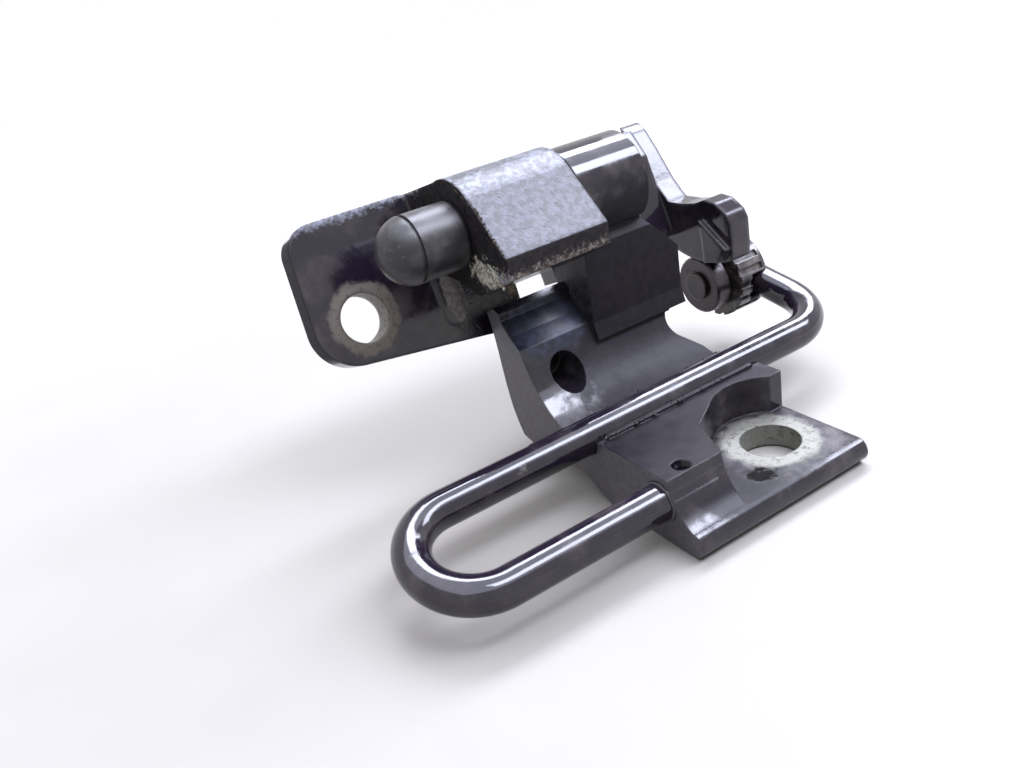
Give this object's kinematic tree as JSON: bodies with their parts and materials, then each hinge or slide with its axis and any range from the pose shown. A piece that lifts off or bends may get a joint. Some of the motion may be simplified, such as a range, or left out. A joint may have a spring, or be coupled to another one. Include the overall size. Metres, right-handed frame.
{
  "type": "car door hinge",
  "caption": "Bolt-on car door hinge: two leaves on a pin, with a bent torsion bar that loads a roller against a cam to hold the door open",
  "frame": {"origin": "centre of leaf A's bolt hole, in its seating face", "axes": "+Z out of leaf A's seating face towards the bolt head, +X along the hinge pin from the rubber cap to the roller, +Y from the flange towards the pin"},
  "size_m": [0.1516, 0.1034, 0.0786],
  "materials": {
    "leaf_paint": "gloss black paint over forged steel",
    "plate_paint": "black paint, pitted, with pale corrosion",
    "bar_paint": "gloss black paint over spring steel",
    "pin_steel": "bright steel",
    "bush_bronze": "sintered bronze",
    "cap_rubber": "moulded rubber",
    "roller_steel": "dark ground steel",
    "housing_plastic": "black moulded plastic"
  },
  "bodies": {
    "leaf_a_side": {"leaf_a": "leaf_paint", "torsion_bar": "bar_paint", "bush_left": "bush_bronze", "bush_right": "bush_bronze", "roller_washer": "roller_steel", "end_housing": "housing_plastic"},
    "leaf_b_side": {"leaf_b": "plate_paint", "hinge_pin": "pin_steel", "pin_washer": "pin_steel", "pin_clip": "pin_steel", "pin_cap": "cap_rubber"},
    "roller_ring": {"roller": "roller_steel", "roller_bush": "bush_bronze"}
  },
  "joints": [
    {"name": "door_swing", "type": "hinge", "parent": "leaf_a_side", "child": "leaf_b_side", "pos_m": [0, 0.05425, 0.065], "axis": [1, 0, 0], "range_deg": [0, 60]},
    {"name": "roller_spin", "type": "hinge", "parent": "leaf_a_side", "child": "roller_ring", "pos_m": [0.0344, 0.05755, 0.0229], "axis": [1, 0, 0], "continuous": true}
  ]
}
